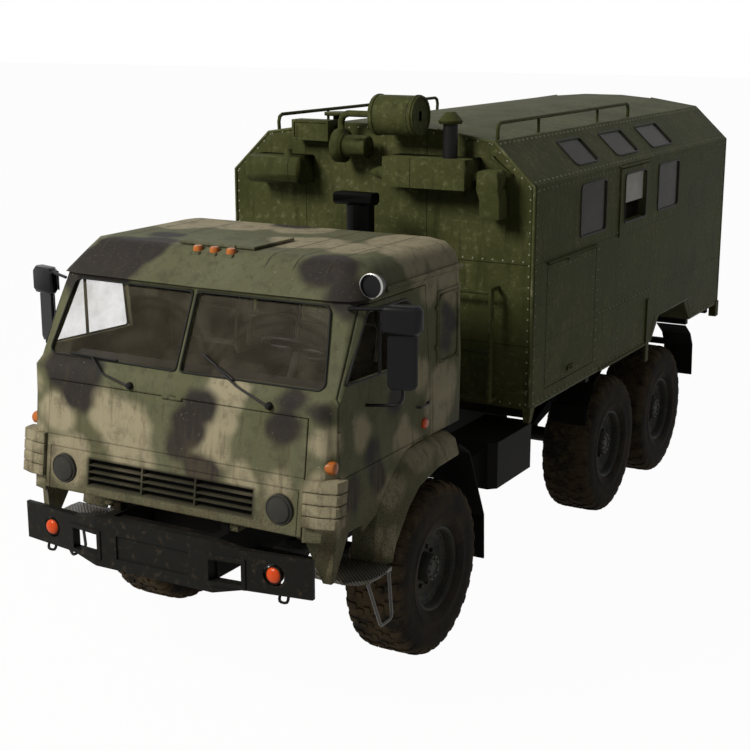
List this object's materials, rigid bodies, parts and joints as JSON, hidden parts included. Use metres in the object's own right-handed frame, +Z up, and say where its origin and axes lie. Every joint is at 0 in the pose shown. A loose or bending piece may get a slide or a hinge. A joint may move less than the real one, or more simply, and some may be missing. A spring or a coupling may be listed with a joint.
{
  "type": "military cargo truck with van body",
  "caption": "Six-wheel off-road military truck with a tilting cab over the engine and a closed van body with windows, hatch and rear door.",
  "frame": {"origin": "on the ground under the middle of the truck's overall length and width", "axes": "-Y forwards, +X to the truck's left, +Z up"},
  "size_m": [2.976, 7.491, 3.66],
  "materials": {
    "cab_paint": "matte camouflage enamel",
    "van_paint": "matte olive enamel",
    "chassis_paint": "matte black enamel, dusty",
    "bumper_paint": "satin black enamel",
    "tyre": "dusty black rubber",
    "rim_paint": "matte olive enamel, dusty",
    "glass": "clear safety glass",
    "engine_iron": "bare and oily",
    "equipment_paint": "matte olive enamel",
    "intake_plastic": "black moulded plastic",
    "mirror_black": "black shell with a mirror",
    "lamp_amber": "amber lens",
    "lamp_red": "red lens",
    "headlamp_cover": "dark blackout cover",
    "seat_vinyl": "dark artificial leather",
    "dash_plastic": "dark moulded plastic"
  },
  "bodies": {
    "chassis": {"frame_rails": "chassis_paint", "cross_members": "chassis_paint", "front_bumper": "bumper_paint", "fog_lamps": "lamp_amber", "powertrain": "engine_iron", "front_axle": "chassis_paint", "rear_axles": "chassis_paint", "leaf_springs": "chassis_paint", "side_tanks": "van_paint", "front_steps": "bumper_paint", "mudguards": "intake_plastic", "air_intake": "intake_plastic", "van_shell": "van_paint", "van_rails": "van_paint", "van_windows": "glass", "van_equipment": "equipment_paint", "tail_lamps": "lamp_red"},
    "van_door": {"van_door": "van_paint"},
    "side_hatch": {"side_hatch": "van_paint"},
    "cab": {"cab_shell": "cab_paint", "cab_glass": "glass", "cab_wings": "cab_paint", "cab_seats": "seat_vinyl", "dashboard": "dash_plastic", "cab_lamps": "lamp_amber"},
    "steering_wheel": {"steering_wheel": "dash_plastic"},
    "front_lid": {"front_lid": "cab_paint", "headlamps": "headlamp_cover"},
    "roof_hatch": {"roof_hatch": "cab_paint"},
    "left_door": {"left_door": "cab_paint", "left_door_glass": "glass", "left_mirror": "mirror_black"},
    "right_door": {"right_door": "cab_paint", "right_door_glass": "glass", "right_mirror": "mirror_black"},
    "left_knuckle": {"left_knuckle": "chassis_paint"},
    "right_knuckle": {"right_knuckle": "chassis_paint"},
    "front_left_wheel": {"front_left_tyre": "tyre", "front_left_rim": "rim_paint"},
    "front_right_wheel": {"front_right_tyre": "tyre", "front_right_rim": "rim_paint"},
    "mid_left_wheel": {"mid_left_tyre": "tyre", "mid_left_rim": "rim_paint"},
    "mid_right_wheel": {"mid_right_tyre": "tyre", "mid_right_rim": "rim_paint"},
    "rear_left_wheel": {"rear_left_tyre": "tyre", "rear_left_rim": "rim_paint"},
    "rear_right_wheel": {"rear_right_tyre": "tyre", "rear_right_rim": "rim_paint"}
  },
  "joints": [
    {"name": "cab_tilt", "type": "hinge", "parent": "chassis", "child": "cab", "pos_m": [0, -3.52, 1.2], "axis": [1, 0, 0], "range_deg": [0, 42]},
    {"name": "left_door_hinge", "type": "hinge", "parent": "cab", "child": "left_door", "pos_m": [1.145, -3.405, 1.775], "axis": [0, 0, -1], "range_deg": [0, 70]},
    {"name": "right_door_hinge", "type": "hinge", "parent": "cab", "child": "right_door", "pos_m": [-1.145, -3.405, 1.775], "axis": [0, 0, 1], "range_deg": [0, 70]},
    {"name": "front_lid_hinge", "type": "hinge", "parent": "cab", "child": "front_lid", "pos_m": [0, -3.48059, 1.925], "axis": [-1, 0, 0], "range_deg": [0, 80]},
    {"name": "roof_hatch_hinge", "type": "hinge", "parent": "cab", "child": "roof_hatch", "pos_m": [-0.03, -2.94, 2.797], "axis": [1, 0, 0], "range_deg": [0, 90]},
    {"name": "left_steer", "type": "hinge", "parent": "chassis", "child": "left_knuckle", "pos_m": [0.905, -2.19, 0.595], "axis": [0, 0, 1], "range_deg": [-30, 30]},
    {"name": "right_steer", "type": "hinge", "parent": "chassis", "child": "right_knuckle", "pos_m": [-0.905, -2.19, 0.595], "axis": [0, 0, 1], "range_deg": [-30, 30]},
    {"name": "steering_wheel_turn", "type": "hinge", "parent": "cab", "child": "steering_wheel", "pos_m": [0.55, -2.9, 2.18], "axis": [0, 0.4695, 0.8829], "range_deg": [-545, 545]},
    {"name": "van_door_hinge", "type": "hinge", "parent": "chassis", "child": "van_door", "pos_m": [-0.42, 3.71, 2.2], "axis": [0, 0, 1], "range_deg": [0, 110]},
    {"name": "side_hatch_hinge", "type": "hinge", "parent": "chassis", "child": "side_hatch", "pos_m": [1.28, -0.185, 2.44], "axis": [0, -1, 0], "range_deg": [0, 90]},
    {"name": "front_left_spin", "type": "hinge", "parent": "left_knuckle", "child": "front_left_wheel", "pos_m": [0.99, -2.19, 0.595], "axis": [1, 0, 0], "continuous": true},
    {"name": "front_right_spin", "type": "hinge", "parent": "right_knuckle", "child": "front_right_wheel", "pos_m": [-0.99, -2.19, 0.595], "axis": [1, 0, 0], "continuous": true},
    {"name": "mid_left_spin", "type": "hinge", "parent": "chassis", "child": "mid_left_wheel", "pos_m": [0.95, 1.15, 0.595], "axis": [1, 0, 0], "continuous": true},
    {"name": "mid_right_spin", "type": "hinge", "parent": "chassis", "child": "mid_right_wheel", "pos_m": [-0.95, 1.15, 0.595], "axis": [1, 0, 0], "continuous": true},
    {"name": "rear_left_spin", "type": "hinge", "parent": "chassis", "child": "rear_left_wheel", "pos_m": [0.95, 2.47, 0.595], "axis": [1, 0, 0], "continuous": true},
    {"name": "rear_right_spin", "type": "hinge", "parent": "chassis", "child": "rear_right_wheel", "pos_m": [-0.95, 2.47, 0.595], "axis": [1, 0, 0], "continuous": true}
  ],
  "couplings": [
    {"joint": "right_steer", "follows": "left_steer", "ratio": 1},
    {"joint": "steering_wheel_turn", "follows": "left_steer", "ratio": 18}
  ]
}
